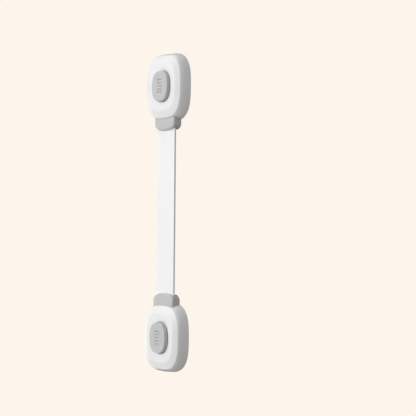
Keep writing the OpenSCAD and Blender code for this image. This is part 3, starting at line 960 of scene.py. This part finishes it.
seat = STRAP_BACK - STRAP_GAP
clip_side = [
    (POCKET_TOP - STRAP_GAP, NECK_BACK), (POCKET_TOP - STRAP_GAP, seat),
    (NECK_END + RELIEF_LENGTH, seat), (NECK_END + RELIEF_LENGTH - RELIEF_RAMP, seat - RELIEF_DEPTH),
    (NECK_END + CLIP_SETBACK, seat - RELIEF_DEPTH), (NECK_END + CLIP_SETBACK, NECK_BACK),
]
clip_half_w = POCKET_HALF_W - STRAP_GAP
clip = prism("upper_plug_clip", clip_side, -clip_half_w, clip_half_w, across_width)
combine(clip, neck_block("inside_neck"), "INTERSECT")
peg_foot = seat - WALL / 2
for x in (-PEG_X, PEG_X):
    peg = prism("peg", circle(x, PEG_Z, PEG_RADIUS), peg_foot, PEG_TOP, across_depth)
    combine(clip, peg, "UNION")
finish_piece(clip, grey_abs)
lower_clip = turned_copy(clip, "lower_plug_clip")
settle(clip, "upper_strap", "grey_abs", "upper_plug_back")
settle(lower_clip, "lower_strap", "grey_abs", "lower_plug_back")
print("Plug backs of", len(clip.data.polygons), "faces each")

# %% [markdown]
# The strap is one flexible band, so it is made as one mesh although the frame holds it as three
# solids. Its section is a rectangle with rounded edges, repeated every millimetre so that the band can
# curve. Holes near its ends take the pegs. A bevelled box would look the same at rest, but without
# rows along it there would be nothing to bend.

# %% Strap
STRAP_EDGE = 0.1 * MM
STRAP_STEP = 1.0 * MM

STRAP_HALF_W = strap_high.x
strap_middle = -POD_SPACING / 2
side = STRAP_HALF_W - STRAP_EDGE
front = STRAP_FRONT - STRAP_EDGE
back = STRAP_BACK + STRAP_EDGE
section = []
for x, depth, start in ((side, front, 0), (-side, front, 90), (-side, back, 180), (side, back, 270)):
    for i in range(EDGE_STEPS + 1):
        a = math.radians(start + 90 * i / EDGE_STEPS)
        section.append((x + STRAP_EDGE * math.cos(a), depth + STRAP_EDGE * math.sin(a)))
strap_length = 2 * (STRAP_END - strap_middle)
row_count = round(strap_length / STRAP_STEP)
rows = [[along_strap(x, d, STRAP_END - strap_length * i / row_count) for x, d in section]
        for i in range(row_count + 1)]
strap = loft("strap_band", rows)
for z in (PEG_Z, -POD_SPACING - PEG_Z):
    for x in (-PEG_X, PEG_X):
        hole = prism("hole", circle(x, z, PEG_RADIUS + PIN_GAP), STRAP_BACK - OVERSHOOT,
                     STRAP_FRONT + OVERSHOOT, across_depth)
        combine(strap, hole, "DIFFERENCE")
finish_piece(strap, strap_tpe)
print("Strap", round(strap_length / MM, 1), "mm long in", row_count, "rows")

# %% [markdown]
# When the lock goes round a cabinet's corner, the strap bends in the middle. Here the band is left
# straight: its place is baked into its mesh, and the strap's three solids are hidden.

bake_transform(strap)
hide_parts("strap_upper_run", "strap_flex_section", "strap_lower_run")

# %% [markdown]
# Each pad is foam tape, die-cut to the base plate's shape and cut straight where the plug goes in. It
# is flat where it sticks to the cabinet, and its cut edges are only slightly rounded, so a prism of
# the cut outline with a small bevel is all that it needs.

# %% Foam pads
PAD_EDGE = 0.22 * MM

pad_low, pad_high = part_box("upper_adhesive_pad")
whole = oval(pad_high.x, pad_high.z, POD_SQUARENESS)
lowest = OVAL_POINTS * 3 // 4
left_part = [(x, z) for x, z in whole[:lowest] if z > pad_low.z]
right_part = [(x, z) for x, z in whole[lowest:] if z > pad_low.z]
cut_share = abs(pad_low.z) / pad_high.z
cut_half_w = pad_high.x * (1 - cut_share ** POD_SQUARENESS) ** (1 / POD_SQUARENESS)
pad_outline = [*left_part, (-cut_half_w, pad_low.z), (cut_half_w, pad_low.z), *right_part]
pad = prism("upper_foam_pad", pad_outline, -pad_high.y, -pad_low.y, across_depth, PAD_EDGE)
finish_piece(pad, foam_tape)
lower_pad = turned_copy(pad, "lower_foam_pad")
settle(pad, "upper_pod", "foam_tape", "upper_adhesive_pad")
settle(lower_pad, "lower_pod", "foam_tape", "lower_adhesive_pad")
print("Pads", round((pad_high.x - pad_low.x) / MM, 1), "mm wide")

# %% [markdown]
# The leaf spring bends when its button is pressed, so its solid is copied and sliced across every
# millimetre. A turned copy serves the lower pod, each leaf has its place baked into its mesh, and its
# solid is hidden.

# %% Leaf springs
LEAF_SLICE = 1.0 * MM
WELD_REACH = 0.0005 * MM

shape = bmesh.new()
shape.from_mesh(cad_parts["upper_latch_spring"].data)
bmesh.ops.remove_doubles(shape, verts=shape.verts, dist=WELD_REACH)
slice_count = int((leaf_high.z - leaf_low.z) / LEAF_SLICE)
for i in range(1, slice_count + 1):
    bmesh.ops.bisect_plane(shape, geom=[*shape.verts, *shape.edges, *shape.faces],
                           plane_co=(0, 0, leaf_low.z + i * LEAF_SLICE), plane_no=(0, 0, 1))
leaf = finish_piece(new_piece("upper_leaf", shape), spring_steel)
lower_leaf = turned_copy(leaf, "lower_leaf")
for piece, pod, matrix in ((leaf, "upper", Matrix.Identity(4)), (lower_leaf, "lower", TO_LOWER_POD)):
    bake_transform(piece)
    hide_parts(pod + "_latch_spring")
print("Leaves in", slice_count, "slices")

# %% [markdown]
# The base plates and the screws already have the right shape as solids, and hardly show. They only
# need their finishes: the plates are the covers' plastic, and the screws are zinc-plated steel.

# %% Finishes of the solids that stay
for pod in ("upper", "lower"):
    for node, material in (("base_plate", white_abs), ("base_screws", zinc_steel),
                           ("latch_screw", zinc_steel)):
        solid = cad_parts[pod + "_" + node]
        solid.data.materials.clear()
        solid.data.materials.append(material)
print("Solids that stay:", [n for n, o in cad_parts.items() if not o.hide_render])
